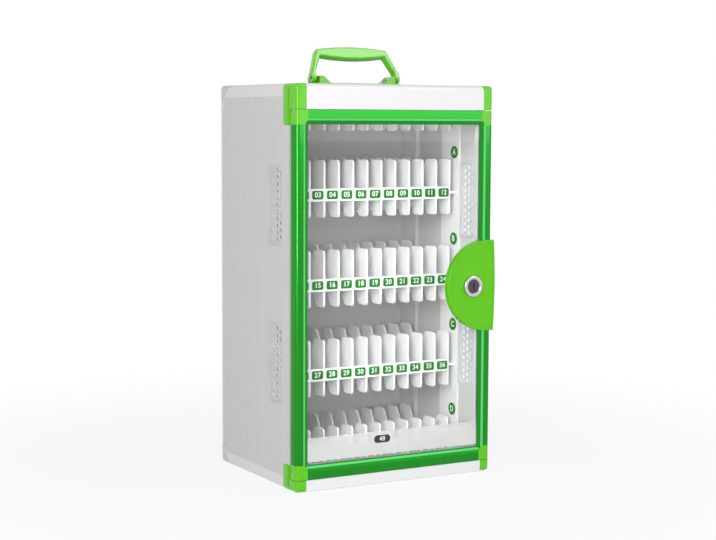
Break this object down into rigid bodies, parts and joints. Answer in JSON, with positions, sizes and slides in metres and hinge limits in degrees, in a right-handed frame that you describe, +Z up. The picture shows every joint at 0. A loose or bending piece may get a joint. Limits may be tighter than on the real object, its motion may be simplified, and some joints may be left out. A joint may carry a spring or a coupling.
{
  "type": "cell phone locker box",
  "caption": "Cabinet with a clear lockable door, numbered upright slots for mobile phones behind it and a folding carrying handle on top.",
  "frame": {"origin": "centre of the case's underside, on the surface that the box stands on", "axes": "+X to the right of someone facing the door, +Y from the door to the back panel, +Z up"},
  "size_m": [0.2687, 0.213, 0.5137],
  "materials": {
    "panel_white": "white-grey powder coat on thin ribbed aluminium sheet",
    "back_grey": "grey powder coated aluminium back panel",
    "rail_white": "hollow aluminium rail, white lacquer",
    "edge_silver": "satin extruded edge profile",
    "jamb_grey": "grey coated aluminium angle",
    "post_white": "white coated flat aluminium post",
    "cap_grey": "light grey moulded plastic",
    "cap_lime": "lime green moulded plastic, satin gloss",
    "grille_white": "white moulded vent insert",
    "rack_white": "white moulded divider rack",
    "strip_white": "white number strip",
    "pin_steel": "plain steel pin",
    "screw_steel": "zinc plated screw",
    "handle_lime": "lime green moulded plastic, glossy",
    "frame_green": "green anodised extruded door frame, glossy",
    "clear_panel": "clear acrylic door panel",
    "bead_grey": "light grey glazing bead",
    "lock_lime": "lime green moulded cover plate, satin gloss",
    "lock_chrome": "chromed zinc lock barrel",
    "lock_brass": "brass lock nut",
    "plug_dark": "dark nickel plated lock plug",
    "cam_steel": "zinc plated steel cam"
  },
  "bodies": {
    "case": {"back_panel": "back_grey", "base_panel": "panel_white", "bottom_front_rail": "rail_white", "case_cap_bottom_left": "cap_lime", "case_cap_bottom_right": "cap_lime", "case_cap_top_left": "cap_lime", "case_cap_top_right": "cap_lime", "dividers_1": "rack_white", "dividers_2": "rack_white", "dividers_3": "rack_white", "dividers_4": "rack_white", "dividers_5": "rack_white", "front_jambs": "jamb_grey", "handle_base": "handle_lime", "handle_pins": "pin_steel", "handle_screws": "screw_steel", "hinge_pins": "pin_steel", "jamb_lips": "jamb_grey", "left_bottom_edge": "edge_silver", "left_inner_post": "post_white", "left_rear_post": "edge_silver", "left_side_panel": "panel_white", "left_top_edge": "edge_silver", "number_strip_1": "strip_white", "number_strip_2": "strip_white", "number_strip_3": "strip_white", "number_strip_4": "strip_white", "rear_corner_caps": "cap_grey", "rear_rails": "edge_silver", "right_bottom_edge": "edge_silver", "right_inner_post": "post_white", "right_rear_post": "edge_silver", "right_side_panel": "panel_white", "right_top_edge": "edge_silver", "shelf_board_1": "rack_white", "shelf_board_2": "rack_white", "shelf_board_3": "rack_white", "shelf_board_4": "rack_white", "shelf_board_5": "rack_white", "top_front_rail": "rail_white", "top_panel": "panel_white", "vent_grilles": "grille_white"},
    "door": {"hinge_stile": "frame_green", "lock_stile": "frame_green", "door_top_rail": "frame_green", "door_bottom_rail": "frame_green", "door_cap_top_left": "cap_lime", "door_cap_top_right": "cap_lime", "door_cap_bottom_left": "cap_lime", "door_cap_bottom_right": "cap_lime", "door_panel": "clear_panel", "glazing_beads": "bead_grey", "lock_plate": "lock_lime", "lock_barrel": "lock_chrome", "lock_nut": "lock_brass"},
    "lock": {"lock_plug": "plug_dark", "lock_cam": "cam_steel", "cam_screw": "screw_steel"},
    "handle": {"handle_bail": "handle_lime"}
  },
  "joints": [
    {"name": "door_hinge", "type": "hinge", "parent": "case", "child": "door", "pos_m": [-0.1285, -0.0905, 0.2335], "axis": [0, 0, -1], "range_deg": [0, 100]},
    {"name": "lock_turn", "type": "hinge", "parent": "door", "child": "lock", "pos_m": [0.103, -0.1025, 0.228], "axis": [0, -1, 0], "range_deg": [0, 90]},
    {"name": "handle_fold", "type": "hinge", "parent": "case", "child": "handle", "pos_m": [0, 0, 0.4759], "axis": [1, 0, 0], "range_deg": [0, 112]}
  ]
}
